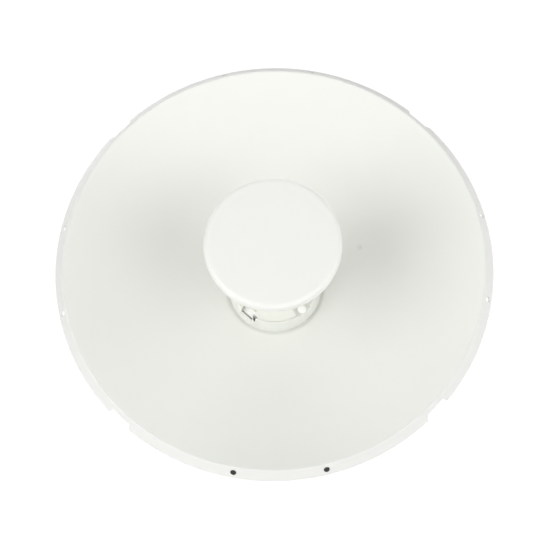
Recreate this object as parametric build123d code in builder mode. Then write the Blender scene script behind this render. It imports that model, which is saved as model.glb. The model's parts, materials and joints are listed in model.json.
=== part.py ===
from build123d import *
import os
from math import atan, cos, radians, sin, sqrt

os.makedirs("parts", exist_ok=True)

# Outdoor wireless bridge: a dish antenna whose radio is in the feed, on a tilting pole mount.
# Frame: origin on the pole's axis, level with the dish's axis. The dish looks along -Y, +Z is up.
# All sizes are in millimetres. Depth below means the Y coordinate, so the front is the most negative.

# ---- dish ---------------------------------------------------------------------------------
rim_y = -152.0            # front edge of the rim
rim_r = 210.0             # outside of the dish, at the rear edge of its skirt
lip_r = 201.1             # where the reflecting surface meets the rolled lip
lip_bend = 1.4            # outside radius of the rolled lip
skirt_angle = 38.3        # the skirt flares this many degrees off the dish's axis
focal = 127.2             # focal length of the reflecting surface
sheet = 1.0               # dish sheet thickness
land_y = -76.0            # front face of the flat land at the middle
land_r = 47.3             # edge of the land
step_r = 1.0              # width of the formed step around the land
hub_hole_r = 31.0
rim_hole_r = 2.5
rim_hole_at = 206.2       # radius of the rim holes
rim_hole_angle = 12.0     # each pair sits this far either side of up, down, left and right
plug_head_r, plug_head_h = 2.75, 0.9
plug_neck_r, plug_barb_r, plug_barb_h = 2.45, 2.8, 1.2
plug_ease = 0.1           # room for the sheet between a plug's head and its barb
notch_width = 24.5
notch_depth = 4.9         # measured along Y from the rear edge of the skirt
notch_slant = 2.0

# ---- hub ------------------------------------------------------------------------------------
gasket, gasket_ease = 1.0, 0.02    # room left for the gasket, and how much thinner it is
gasket_r = 43.8
plate = 2.5               # thickness of the pressed steel brackets
bend = 2.0                # outside radius of the brackets' bends
hub_screw_at = 37.4       # radius of the four hub screws
hub_screw_angles = (69, 111, 188, 352)
m4_r, m4_clear = 2.0, 2.25
m4_head_r, m4_head_h = 3.7, 2.2
m4_flats, m4_nut_h = 7.0, 3.2
peg_at = 38.3             # radius of the two locating pegs
peg_r, peg_hole_r = 2.4, 2.5
peg_head_r, peg_head_y = 4.4, -93.2
peg_angles = (-48, 132)
latch_angles = (-134, 46)
latch_window = (33.4, 42.4, 8.2)   # inner radius, outer radius and half width of the latch windows
latch_r, latch_half = (33.6, 40.3), 6.6
latch_gap_r = 41.6        # the gap outside each latch ends here
latch_front_y = (-88.0, -82.6)     # depth of the latch's inner and outer edges
latch_flat = 1.2          # the front is level this far before it slopes
leg_r, leg_half, hook = (36.6, 39.4), 5.0, 1.6

# ---- feed -----------------------------------------------------------------------------------
collar_r, collar_front_r = 45.8, 42.7
collar_front_y = -95.0
collar_skin = 2.5
collar_inner_r = 41.2
groove_r = 41.8           # outside of the fine groove round the collar's front face
groove = 1.0
pocket_r, pocket_floor_y = 8.2, -91.0
cup_wall = 1.6            # wall left round each pocket in the hollow underside
recess_y = -84.0          # floor of the recess round each latch
tube_r, tube_front_r = 27.0, 22.5
tube_wall = 1.8
tube_front_y = -199.0
tail_r, tail_front_y, tail_rear_y = 30.6, -79.0, -54.5
tail_wall = 1.8
cap_r, cap_front_y, cap_rear_y = 64.3, -207.3, -196.3
cap_wall = 2.0
cap_round = 4.8
board_z, board_t = -3.0, 1.6       # underside and thickness of the main board
board_w, board_l, board_y = 38.0, 122.0, -136.0
board_screw_r = 1.2
board_spots = [(x, y) for x in (24, -24) for y in (-69, -61)]
can_w, can_h = 28.0, 3.2
cans = ((-168, 34), (-126, 36), (-92, 18))       # middle and length of each shielding can
jack_x, jack_y = -3.0, -63.0       # middle of the Ethernet socket
jack_w, jack_d = 16.0, 13.4
jack_mouth_z = -26.0
jack_hole = (11.9, 8.0)
button_x, button_r, button_travel = 9.0, 1.6, 0.5
button_end_z = -29.0
switch_h = 3.5
led_w, led_h, led_z = 18.0, 3.0, 15.0
slide_gap = 0.1

# ---- rear housing and port cover ----------------------------------------------------------------
housing_r, housing_wall = 33.3, 2.1
housing_front_y, housing_rear_y = -72.5, -51.5
chute_w, chute_z = 28.0, -37.0     # the port chute's outside width and its open lower end
lug_angles = (15, 165, 207, 333)
lug_at, lug_r, lug_h = 37.9, 4.2, 3.0
cover_wall, cover_bottom = 1.4, 1.8
cover_top_z = -20.0
cable_y = -62.0
grommet_r, grommet_neck_r, cable_r = 5.4, 4.48, 3.1

# ---- pole mount -----------------------------------------------------------------------------------
pole_r = 25.0
web_y = -37.0             # front face of the pole bracket's web
web_w, web_h = 99.8, 57.5
web_hole_r = 11.0
jaw_tip = 8.0             # the clamping flanges stop this far short of the pole's middle
tooth = 1.2
pivot_y, lock_drop = -54.0, 22.0
tilt = 20.0
ear_r, lock_ear_r, slot_ear_r = 12.0, 9.0, 6.5
m6_r, m6_clear = 3.0, 3.05
m6_flats, m6_head_h, m6_nut_h, m6_washer_r, m6_washer_h = 10.0, 4.0, 5.0, 6.2, 1.2
m8_r, m8_clear, m8_x = 4.0, 4.5, 38.0
m8_flats, m8_nut_h, m8_washer_r, m8_washer_h = 13.0, 6.5, 8.0, 1.6
m8_dome_r, m8_dome_h = 8.5, 4.4
m8_end_y = 68.0
ground_spot = (20, -18)   # X and Z of the earthing screw
ground_r, ground_flats, ground_head_h, ground_flange_h = 2.5, 8.0, 4.0, 1.0


def across(y):
    """The plane at depth y that faces forward. Its own x and y are the row's X and Z."""
    return Plane.XZ.offset(-y)


def polar(radius, angle):
    return radius * cos(radians(angle)), radius * sin(radians(angle))


def bars(spots, radius, y0, y1, mode=Mode.ADD):
    """Round bars, or holes, along Y from depth y0 to depth y1 at the given X, Z spots."""
    with BuildSketch(across(y0)) as ends:
        with Locations(*spots):
            Circle(radius)
    extrude(ends.sketch, amount=y0 - y1, mode=mode)


def hexagons(spots, flats, y0, y1, bore=0.0):
    """Hexagon heads or nuts along Y, with a bore when one is given."""
    with BuildSketch(across(y0)) as ends:
        with Locations(*spots):
            RegularPolygon(flats / 2, 6, major_radius=False)
            if bore:
                Circle(bore, mode=Mode.SUBTRACT)
    extrude(ends.sketch, amount=y0 - y1)


def blocks(spots, width, height, y0, y1, corner=0.0, mode=Mode.ADD):
    """Rectangular bars along Y; width runs along X and height along Z."""
    with BuildSketch(across(y0)) as ends:
        with Locations(*spots):
            if corner:
                RectangleRounded(width, height, corner)
            else:
                Rectangle(width, height)
    extrude(ends.sketch, amount=y0 - y1, mode=mode)


def turned(outline, mode=Mode.ADD):
    """A ring or shell turned about the dish's axis from (radius, depth) corners."""
    with BuildSketch(Plane.XY) as section:
        with BuildLine():
            Polyline(*outline, close=True)
        make_face()
    revolve(section.sketch, axis=Axis.Y, mode=mode)


def ring(outer, inner, y0, y1, mode=Mode.ADD):
    turned([(inner, y0), (outer, y0), (outer, y1), (inner, y1)], mode)


def side_bars(spots, radius, x0, x1, bore=0.0):
    """Round bars or rings along X from x0 to x1 on the right, and mirrored, at the Y, Z spots."""
    for side in (1, -1):
        with BuildSketch(Plane.YZ.offset(side * x0)) as ends:
            with Locations(*spots):
                Circle(radius)
                if bore:
                    Circle(bore, mode=Mode.SUBTRACT)
        extrude(ends.sketch, amount=side * (x1 - x0))


def side_hexagons(spots, flats, x0, x1, bore=0.0):
    for side in (1, -1):
        with BuildSketch(Plane.YZ.offset(side * x0)) as ends:
            with Locations(*spots):
                RegularPolygon(flats / 2, 6, major_radius=False)
                if bore:
                    Circle(bore, mode=Mode.SUBTRACT)
        extrude(ends.sketch, amount=side * (x1 - x0))


def upright(spots, radius, z0, z1, mode=Mode.ADD):
    """Round bars or holes along Z between two heights, at the X, Y spots."""
    with BuildSketch(Plane.XY.offset(z0)) as ends:
        with Locations(*spots):
            Circle(radius)
    extrude(ends.sketch, amount=z1 - z0, mode=mode)


def upright_blocks(spots, width, length, z0, z1, corner=0.0, mode=Mode.ADD):
    """Rectangular bars along Z; width runs along X and length along Y."""
    with BuildSketch(Plane.XY.offset(z0)) as ends:
        with Locations(*spots):
            if corner:
                RectangleRounded(width, length, corner)
            else:
                Rectangle(width, length)
    extrude(ends.sketch, amount=z1 - z0, mode=mode)


def edges_at(edges, across_x, at_y, across_z=None):
    """The edges whose middles lie at this distance either side in X, at this depth and this Z."""
    def there(edge):
        middle = edge.center()
        level = across_z is None or abs(abs(middle.Z) - across_z) < 0.01
        return level and abs(abs(middle.X) - across_x) < 0.01 and abs(middle.Y - at_y) < 0.01
    return edges.filter_by(there)


def radial_plane(angle, y):
    """A forward-facing plane at depth y whose own x runs outwards along the given radius."""
    x, z = cos(radians(angle)), sin(radians(angle))
    return Plane(origin=(0, y, 0), x_dir=(x, 0, z), z_dir=(0, -1, 0))


def radial_block(angle, r0, r1, half, y0, y1, corner=0.0, shift=0.0, mode=Mode.ADD):
    """A block between radii r0 and r1, half wide either side of the radius, from y0 to y1."""
    with BuildSketch(radial_plane(angle, y0)) as ends:
        with Locations(((r0 + r1) / 2, shift)):
            if corner:
                RectangleRounded(r1 - r0, 2 * half, corner)
            else:
                Rectangle(r1 - r0, 2 * half)
    extrude(ends.sketch, amount=y0 - y1, mode=mode)


# ---- reflector: land, step, paraboloid, rolled lip and flared skirt, one formed sheet ----------
tangent = atan(lip_r / (2 * focal))           # slope of the paraboloid at the lip
skirt = radians(skirt_angle)
bend_r = lip_r + lip_bend * sin(tangent)
bend_y = rim_y + lip_bend
dish_end_y = bend_y - lip_bend * cos(tangent)
step_end_r = land_r + step_r
vertex_y = dish_end_y + lip_r**2 / (4 * focal)


def dish_y(r):
    return vertex_y - r**2 / (4 * focal)


def sheet_side(offset):
    """One side of the sheet, offset rearwards by the given thickness, as corner points."""
    start = atan(step_end_r / (2 * focal))
    p0 = (step_end_r + offset * sin(start), dish_y(step_end_r) + offset * cos(start))
    p2 = (lip_r + offset * sin(tangent), dish_end_y + offset * cos(tangent))
    # where the two end tangents cross: the middle handle that makes the curve a parabola
    run = (p2[1] - p0[1] + (p2[0] - p0[0]) * sin(tangent) / cos(tangent)) / (
        sin(tangent) / cos(tangent) - sin(start) / cos(start)
    )
    p1 = (p0[0] + run, p0[1] - run * sin(start) / cos(start))
    bend = lip_bend - offset
    top = (bend_r + 0.1 * bend, bend_y - bend * sqrt(1 - 0.1**2))
    p3 = (bend_r + bend * cos(skirt), bend_y - bend * sin(skirt))
    run = rim_r - offset * cos(skirt) - p3[0]
    p4 = (p3[0] + run, p3[1] + run * cos(skirt) / sin(skirt))
    return p0, p1, p2, top, p3, p4


def skirt_plane(angle, y):
    """The plane on the skirt's outside at the rim holes' radius, facing away from the sheet."""
    x, z = cos(radians(angle)), sin(radians(angle))
    return Plane(origin=(rim_hole_at * x, y, rim_hole_at * z), x_dir=(-z, 0, x),
                 z_dir=(cos(skirt) * x, -sin(skirt), cos(skirt) * z))


hub_spots = [polar(hub_screw_at, a) for a in hub_screw_angles]
peg_spots = [polar(peg_at, a) for a in peg_angles]
lug_spots = [polar(lug_at, a) for a in lug_angles]
skirt_rear_y = sheet_side(0)[5][1]
plug_angles = (-90 - rim_hole_angle, -90 + rim_hole_angle)

with BuildPart() as reflector:
    with BuildSketch(Plane.XY):
        with BuildLine():
            front = sheet_side(0)
            back = sheet_side(sheet)
            Polyline((hub_hole_r, land_y + sheet), (hub_hole_r, land_y), (land_r, land_y), front[0])
            Bezier(front[0], front[1], front[2])
            ThreePointArc(front[2], front[3], front[4])
            Polyline(front[4], front[5], back[5], back[4])
            ThreePointArc(back[4], back[3], back[2])
            Bezier(back[2], back[1], back[0])
            Polyline(back[0], (land_r + step_r / 2, land_y + sheet), (hub_hole_r, land_y + sheet))
        make_face()
    revolve(axis=Axis.Y)
    # radome holes through the skirt: above, left and right, each pair parallel to the radius between
    hole_x, hole_z = polar(rim_hole_at, 90 - rim_hole_angle)
    hole_y = front[4][1] + (rim_hole_at - front[4][0]) * cos(skirt) / sin(skirt)
    for turn in (0, 90, 270):
        radial = Plane(origin=(0, hole_y, 0), x_dir=(cos(radians(turn)), 0, sin(radians(turn))),
                       z_dir=(-sin(radians(turn)), 0, cos(radians(turn))))
        with BuildSketch(radial.offset(hole_z - 4)):
            with Locations((hole_x, 0), (-hole_x, 0)):
                Circle(rim_hole_r)
        extrude(amount=10, mode=Mode.SUBTRACT)
    # the two holes below are square to the skirt
    for angle in plug_angles:
        with BuildSketch(skirt_plane(angle, hole_y)):
            Circle(rim_hole_r)
        extrude(amount=4, both=True, mode=Mode.SUBTRACT)
    # drain notches in the rear edge of the skirt
    wide, narrow = notch_width / 2 + notch_slant, notch_width / 2 - notch_slant
    for turn in range(45, 360, 90):
        outwards = (cos(radians(turn)), 0, sin(radians(turn)))
        sideways = (-sin(radians(turn)), 0, cos(radians(turn)))
        edge = Plane(origin=(0, skirt_rear_y, 0), x_dir=sideways, z_dir=outwards)
        with BuildSketch(edge.offset(rim_r - 8)):
            with BuildLine():
                Polyline((-wide, -1), (wide, -1), (narrow, notch_depth), (-narrow, notch_depth), close=True)
            make_face()
        extrude(amount=12, mode=Mode.SUBTRACT)
    bars(hub_spots, m4_clear, land_y - 1, land_y + 2, Mode.SUBTRACT)
    bars(peg_spots, peg_hole_r, land_y - 1, land_y + 2, Mode.SUBTRACT)
    for angle in latch_angles:
        radial_block(angle, *latch_window, land_y - 1, land_y + 2, corner=1.0, mode=Mode.SUBTRACT)

# ---- rim plugs: rubber bungs in the two holes below ------------------------------------------------
with BuildPart() as rim_plugs:
    for angle in plug_angles:
        outside = skirt_plane(angle, hole_y)
        barb = -sheet - plug_ease
        for radius, low, high in (
            (plug_head_r, 0.0, plug_head_h),
            (plug_neck_r, barb, 0.0),
            (plug_barb_r, barb - plug_barb_h, barb),
        ):
            with BuildSketch(outside.offset(low)) as disc:
                Circle(radius)
            extrude(disc.sketch, amount=high - low)

# ---- dish bracket: ring plate behind the land, with an ear each side -----------------------------
tilt_stop = tilt + 0.15   # the slot is this much longer than the swing, as the bolt's clearance


def swing(radius, angle, along=0.0):
    """The Y, Z point at a radius below the pivot, turned by angle, then moved along the swing."""
    a = radians(angle)
    return pivot_y + radius * sin(a) + along * cos(a), -radius * cos(a) + along * sin(a)


ring_y = land_y + sheet
ear_x = web_w / 2 + slide_gap
with BuildPart() as dish_bracket:
    with BuildSketch(across(ring_y)):
        Circle(50)
        with Locations((0, -9.5)):
            Rectangle(2 * (ear_x + plate), 47)
        Circle(hub_hole_r, mode=Mode.SUBTRACT)
    extrude(amount=-plate)
    for side in (1, -1):
        with BuildSketch(Plane.YZ.offset(side * ear_x)) as ear:
            with Locations((pivot_y, 0)):
                Circle(ear_r)
            with Locations(*[swing(lock_drop, a) for a in (-tilt, 0, tilt)]):
                Circle(slot_ear_r)
            with Locations((ring_y + plate / 2, -9.5)):
                Rectangle(plate, 47)
            make_hull()
            with Locations((pivot_y, 0)):
                Circle(m6_clear, mode=Mode.SUBTRACT)
            with BuildLine():
                far, near = lock_drop + m6_clear, lock_drop - m6_clear
                ThreePointArc(swing(far, -tilt_stop), swing(far, 0), swing(far, tilt_stop))
                ThreePointArc(swing(far, tilt_stop), swing(lock_drop, tilt_stop, m6_clear),
                              swing(near, tilt_stop))
                ThreePointArc(swing(near, tilt_stop), swing(near, 0), swing(near, -tilt_stop))
                ThreePointArc(swing(near, -tilt_stop), swing(lock_drop, -tilt_stop, -m6_clear),
                              swing(far, -tilt_stop))
            make_face(mode=Mode.SUBTRACT)
        extrude(ear.sketch, amount=side * plate)
    bars(hub_spots, m4_clear, ring_y - 1, ring_y + plate + 1, Mode.SUBTRACT)
    bars(peg_spots, peg_hole_r, ring_y - 1, ring_y + plate + 1, Mode.SUBTRACT)
    bars(lug_spots, 1.25, ring_y - 1, ring_y + plate + 1, Mode.SUBTRACT)
    for angle in latch_angles:
        radial_block(angle, *latch_window, ring_y - 1, ring_y + plate + 1, corner=1.0, mode=Mode.SUBTRACT)
    fillet(edges_at(dish_bracket.edges().filter_by(Axis.Z), ear_x + plate, ring_y), bend)
    corners = dish_bracket.edges().filter_by(Axis.Y).group_by(Axis.X)
    fillet(corners[0] + corners[-1], 1.0)

with BuildPart() as bracket_screws:
    bars(hub_spots, m4_r, land_y - m4_head_h, ring_y + plate + m4_nut_h + 1)
    bars(hub_spots, m4_head_r, land_y, land_y - m4_head_h)
    fillet(bracket_screws.faces().group_by(Axis.Y)[0].edges(), 1.0)
    with BuildSketch(across(land_y - m4_head_h)) as keys:
        with Locations(*hub_spots):
            RegularPolygon(1.25, 6, major_radius=False)
    extrude(keys.sketch, amount=-1.3, mode=Mode.SUBTRACT)

with BuildPart() as bracket_nuts:
    hexagons(hub_spots, m4_flats, ring_y + plate, ring_y + plate + m4_nut_h, m4_r + 0.02)

# ---- rubber gasket between the feed collar and the land --------------------------------------------
gasket_y = land_y - gasket
with BuildPart() as hub_gasket:
    ring(gasket_r, hub_hole_r, land_y, gasket_y + gasket_ease)
    bars(hub_spots, m4_head_r + 0.3, land_y + 1, gasket_y - 1, Mode.SUBTRACT)
    bars(peg_spots, peg_hole_r, land_y + 1, gasket_y - 1, Mode.SUBTRACT)
    for angle in latch_angles:
        radial_block(angle, *latch_window, land_y + 1, gasket_y - 1, corner=1.0, mode=Mode.SUBTRACT)

# ---- feed collar: the tapered ring around the hub, with peg pockets and latch recesses --------------
lip_y = land_y - slide_gap
with BuildPart() as feed_collar:
    turned([(tube_r + 0.2, gasket_y), (gasket_r + 0.2, gasket_y), (gasket_r + 0.2, lip_y),
            (collar_r, lip_y), (collar_front_r, collar_front_y), (tube_r + 0.2, collar_front_y)])
    fillet(feed_collar.faces().sort_by(Axis.Y)[0].edges().sort_by(SortBy.RADIUS)[-1], 0.5)
    ring(groove_r, groove_r - groove, collar_front_y, collar_front_y + groove, Mode.SUBTRACT)
    ring(tail_r + 0.1, tube_r - 1, gasket_y + 1, tail_front_y, Mode.SUBTRACT)
    # hollow the underside, leaving the tube's boss, the pockets' cups and the latches' cages
    with BuildSketch(across(gasket_y)) as hollow:
        Circle(collar_inner_r)
        Circle(tail_r + 1.2, mode=Mode.SUBTRACT)
        with Locations(*peg_spots):
            Circle(pocket_r + cup_wall, mode=Mode.SUBTRACT)
        for angle in latch_angles:
            x, z = polar(38, angle)
            dx, dz = polar(-4.6, angle + 90)
            with Locations(Location((x + dx, z + dz, 0), (0, 0, angle))):
                Rectangle(16, 28.4, mode=Mode.SUBTRACT)
    extrude(hollow.sketch, amount=gasket_y - collar_front_y - collar_skin, mode=Mode.SUBTRACT)
    above_y = collar_front_y - 1
    bars(peg_spots, pocket_r, pocket_floor_y, above_y, Mode.SUBTRACT)
    for angle in peg_angles:
        radial_block(angle, peg_at, 50.0, pocket_r - 0.6, pocket_floor_y, above_y, mode=Mode.SUBTRACT)
    bars(peg_spots, peg_r + 0.02, gasket_y + 1, pocket_floor_y - 1, Mode.SUBTRACT)
    # each latch's slot, the deep corner beside it, its recess, and the low wall outside it
    latch_cuts = (
        (latch_r[0] - 0.3, latch_gap_r, latch_half + 0.2, gasket_y + 1, 0.0, 0.0),
        (38.4, 42.2, 2.0, gasket_y + 1, 0.0, 9.6),
        (latch_r[0] - 0.3, latch_gap_r, 7.2, recess_y, 0.0, 0.0),
        (40.5, 50.0, 7.4, recess_y, 1.0, 1.0),
    )
    for angle in latch_angles:
        for inner, outer, half, floor_y, corner, shift in latch_cuts:
            radial_block(angle, inner, outer, half, floor_y, above_y, corner, shift, Mode.SUBTRACT)

# ---- locating pegs: headed pins through the pockets' floors into the land ---------------------------
with BuildPart() as collar_pegs:
    bars(peg_spots, peg_head_r, pocket_floor_y, peg_head_y)
    fillet(collar_pegs.faces().group_by(Axis.Y)[0].edges(), 0.6)
    bars(peg_spots, peg_r, pocket_floor_y - 1, ring_y + plate)
    chamfer(collar_pegs.faces().group_by(Axis.Y)[-1].edges(), 0.4)

# ---- latches: prised outwards to free the feed ------------------------------------------------------
def latch(angle):
    """A block whose front slopes outwards, on a leg that hangs through the window in the land."""
    inner, outer = latch_r
    top_y, low_y = latch_front_y
    foot_y = gasket_y - 0.2
    x, z = cos(radians(angle)), sin(radians(angle))
    with BuildSketch(Plane(origin=(0, 0, 0), x_dir=(x, 0, z), z_dir=(-z, 0, x))) as side_view:
        with BuildLine():
            Polyline((inner, foot_y), (inner, top_y), (inner + latch_flat, top_y), (outer, low_y),
                     (outer, foot_y), close=True)
        make_face()
    extrude(side_view.sketch, amount=latch_half, both=True)
    radial_block(angle, *leg_r, leg_half, gasket_y - 1, ring_y + plate + hook)


with BuildPart() as latch_left:
    latch(latch_angles[0])
with BuildPart() as latch_right:
    latch(latch_angles[1])

# ---- feed tube: tapered shell between the collar and the cap ----------------------------------------
with BuildPart() as feed_tube:
    spigot_r = tail_r - tail_wall - 0.02
    turned([
        (tube_r - tube_wall, gasket_y + 2), (spigot_r, gasket_y + 2),
        (spigot_r, gasket_y), (tube_r, gasket_y), (tube_r, collar_front_y),
        (tube_front_r, cap_rear_y), (tube_front_r, tube_front_y),
        (tube_front_r - tube_wall, tube_front_y), (tube_front_r - tube_wall, cap_rear_y),
        (tube_r - tube_wall, collar_front_y),
    ])

# ---- feed tail: the plug behind the dish that holds the socket ---------------------------------------
with BuildPart() as feed_tail:
    turned([
        (0, tail_rear_y), (tail_r, tail_rear_y), (tail_r, tail_front_y),
        (tail_r - tail_wall, tail_front_y), (tail_r - tail_wall, tail_rear_y - tail_wall),
        (0, tail_rear_y - tail_wall),
    ])
    fillet(feed_tail.faces().sort_by(Axis.Y)[-1].edges(), 0.8)
    # ledges that carry the board
    upright_blocks([(25.2, -65.2), (-25.2, -65.2)], 6.2, 16, board_z - 2.6, board_z)
    # socket opening, button hole and indicator slot
    upright_blocks([(jack_x, jack_y)], jack_w + 0.4, jack_d + 0.4, -34, -22, mode=Mode.SUBTRACT)
    upright([(button_x, jack_y)], button_r + 0.06, -34, -22, Mode.SUBTRACT)
    blocks([(0, led_z)], led_w, led_h, tail_rear_y + 1, tail_rear_y - 4, mode=Mode.SUBTRACT)
    upright(board_spots, board_screw_r - 0.2, board_z - 2, board_z, Mode.SUBTRACT)

with BuildPart() as led_lens:
    blocks([(0, led_z)], led_w, led_h, tail_rear_y, tail_rear_y - tail_wall)

# ---- electronics ----------------------------------------------------------------------------------
board_top = board_z + board_t
with BuildPart() as main_board:
    upright_blocks([(0, board_y)], board_w, board_l, board_z, board_top)
    upright_blocks([(0, -66)], 51, 17, board_z, board_top)
    upright_blocks([(0, -74.8)], board_w, 4, board_z, board_top)
    upright(board_spots, board_screw_r + 0.1, board_z, board_top, Mode.SUBTRACT)

with BuildPart() as board_screws:
    upright(board_spots, board_screw_r - 0.22, board_z - 1.8, board_z)
    upright(board_spots, board_screw_r, board_z, board_top)
    upright(board_spots, board_screw_r + 1, board_top, board_top + 1.4)

with BuildPart() as shield_cans:
    for y, length in cans:
        upright_blocks([(0, y)], can_w, length, board_top, board_top + can_h, corner=1.0)
    chamfer(shield_cans.faces().group_by(Axis.Z)[-1].edges(), 0.5)

with BuildPart() as ethernet_jack:
    upright_blocks([(jack_x, jack_y)], jack_w, jack_d, jack_mouth_z, board_z)
    upright_blocks([(jack_x, jack_y)], *jack_hole, jack_mouth_z, jack_mouth_z + 14.5, mode=Mode.SUBTRACT)
    upright_blocks([(jack_x, jack_y + 4.8)], 6.2, 2.4, jack_mouth_z, jack_mouth_z + 14.5,
                   mode=Mode.SUBTRACT)

with BuildPart() as reset_switch:
    upright_blocks([(button_x, jack_y)], 6, 6, board_z - switch_h, board_z)

with BuildPart() as reset_button:
    stem_top = board_z - switch_h - button_travel - 0.02
    upright([(button_x, jack_y)], button_r, button_end_z, stem_top)
    chamfer(reset_button.faces().sort_by(Axis.Z)[0].edges(), 0.3)

with BuildPart() as radiator:
    ring(18, 2.0, -197.0, -197.8)
    for angle in (45, 135):
        with BuildSketch(radial_plane(angle, -197.0)) as slots:
            with Locations((11, 0), (-11, 0)):
                SlotOverall(9, 1.6)
        extrude(slots.sketch, amount=0.8, mode=Mode.SUBTRACT)

# ---- cap ------------------------------------------------------------------------------------------
with BuildPart() as cap_shell:
    turned([(0, cap_front_y), (cap_r, cap_front_y), (cap_r, cap_rear_y), (cap_r - cap_wall, cap_rear_y),
            (cap_r - cap_wall, cap_front_y + cap_wall), (0, cap_front_y + cap_wall)])
    fillet(cap_shell.faces().sort_by(Axis.Y)[0].edges(), cap_round)
    circles = cap_shell.edges().filter_by(GeomType.CIRCLE)
    inside = circles.filter_by(lambda e: abs(e.radius - (cap_r - cap_wall)) < 0.01)
    fillet(inside.sort_by(Axis.Y)[0], cap_round - cap_wall)
    circles = cap_shell.edges().filter_by(GeomType.CIRCLE)
    fillet(circles.filter_by(lambda e: abs(e.radius - cap_r) < 0.01).sort_by(Axis.Y)[-1], 0.8)

with BuildPart() as cap_back:
    seat = cap_r - cap_wall - 0.05
    boss_y = cap_rear_y + 4.8
    taper = (tube_r - tube_front_r) / (collar_front_y - cap_rear_y)
    boss_r = tube_front_r + (boss_y - cap_rear_y) * taper + 0.02
    turned([
        (boss_r, boss_y), (tube_front_r + 2.0, boss_y), (tube_front_r + 2.8, cap_rear_y),
        (seat, cap_rear_y), (seat, cap_rear_y - 1.8), (seat - 2.0, cap_rear_y - 1.8),
        (seat - 2.0, cap_rear_y - 4.4), (seat - 3.6, cap_rear_y - 4.4), (seat - 3.6, cap_rear_y - 1.8),
        (tube_front_r + 0.02, cap_rear_y - 1.8), (tube_front_r + 0.02, cap_rear_y),
    ])

with BuildPart() as cap_seal:
    ring(seat - 0.05, seat - 1.95, cap_rear_y - 1.85, cap_rear_y - 3.4)

with BuildPart() as subreflector:
    skin_y = cap_front_y + cap_wall
    turned([(0, skin_y), (54, skin_y), (54, skin_y + 0.8), (20, skin_y + 0.8), (0, skin_y + 4.6)])

# ---- rear housing: fixed behind the dish, shields the tail and forms the port chute ------------------
chute_inner = chute_w - 2 * housing_wall
lug_y = housing_front_y + lug_h
with BuildPart() as rear_housing:
    with BuildSketch(across(housing_front_y)):
        Circle(housing_r)
        with Locations((0, chute_z / 2)):
            Rectangle(chute_w, -chute_z)
    extrude(amount=housing_front_y - housing_rear_y)
    fillet(rear_housing.faces().sort_by(Axis.Y)[-1].edges(), 1.2)
    for angle in lug_angles:
        radial_block(angle, housing_r - 2, lug_at, lug_r, housing_front_y, lug_y)
    bars(lug_spots, lug_r, housing_front_y, lug_y)
    bars([(0, 0)], housing_r - housing_wall, housing_front_y - 1, housing_rear_y - 2, Mode.SUBTRACT)
    blocks([(0, chute_z / 2 - 1)], chute_inner, 2 - chute_z, housing_front_y - 1, housing_rear_y - 2,
           mode=Mode.SUBTRACT)
    blocks([(0, led_z)], led_w + 2, led_h + 2, housing_rear_y - 4, housing_rear_y + 1, corner=1.5,
           mode=Mode.SUBTRACT)
    bars(lug_spots, 1.6, housing_front_y - 1, lug_y + 1, Mode.SUBTRACT)
    # cooling ribs across the back
    for x in range(-18, 19, 6):
        with BuildSketch(across(housing_rear_y)) as rib:
            with Locations((x, 0)):
                SlotOverall(16, 1.6, rotation=90)
        extrude(rib.sketch, amount=-1.0)

with BuildPart() as housing_screws:
    bars(lug_spots, 1.2, housing_front_y - plate, lug_y)
    bars(lug_spots, 1.5, housing_front_y, lug_y)
    bars(lug_spots, 2.75, lug_y, lug_y + 1.8)
    fillet(housing_screws.faces().group_by(Axis.Y)[-1].edges(), 0.7)
    with BuildSketch(across(lug_y + 1.8)) as drives:
        with Locations(*lug_spots):
            Rectangle(3.2, 0.7)
            Rectangle(0.7, 3.2)
    extrude(drives.sketch, amount=0.9, mode=Mode.SUBTRACT)

# ---- port cover: a three-sided sleeve over the chute that slides down ---------------------------------
cover_y = housing_rear_y + slide_gap
cover_x = chute_w / 2 + slide_gap
floor_z = chute_z - slide_gap
end_z = floor_z - cover_bottom
front_y = housing_front_y + slide_gap
back_y = cover_y + cover_wall
with BuildPart() as port_cover:
    upright_blocks([(0, (front_y + back_y) / 2)], 2 * (cover_x + cover_wall), back_y - front_y,
                   end_z, cover_top_z)
    fillet(port_cover.faces().sort_by(Axis.Z)[0].edges().filter_by(Axis.X).sort_by(Axis.Y)[-1], 1.0)
    fillet(port_cover.edges().filter_by(Axis.Z).group_by(Axis.Y)[-1], 1.2)
    upright_blocks([(0, (front_y + cover_y) / 2 - 1)], 2 * cover_x, cover_y - front_y + 2,
                   floor_z, cover_top_z + 1, mode=Mode.SUBTRACT)
    # clear the round housing above the chute, then the cable hole and thumb ridges
    bars([(0, 0)], housing_r + slide_gap, housing_front_y, housing_rear_y + slide_gap, Mode.SUBTRACT)
    upright([(0, cable_y)], grommet_neck_r + 0.02, end_z, floor_z, Mode.SUBTRACT)
    for step in range(4):
        with BuildSketch(across(back_y)) as ridge:
            with Locations((0, -26 - 2.4 * step)):
                SlotOverall(14, 1.0)
        extrude(ridge.sketch, amount=-0.5)

with BuildPart() as cable_grommet:
    upright([(0, cable_y)], grommet_r, end_z - 1.4, end_z)
    upright([(0, cable_y)], grommet_neck_r, end_z, floor_z)
    upright([(0, cable_y)], grommet_r, floor_z, floor_z + 1.2)
    upright([(0, cable_y)], cable_r, end_z - 2, floor_z + 2, Mode.SUBTRACT)

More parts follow.
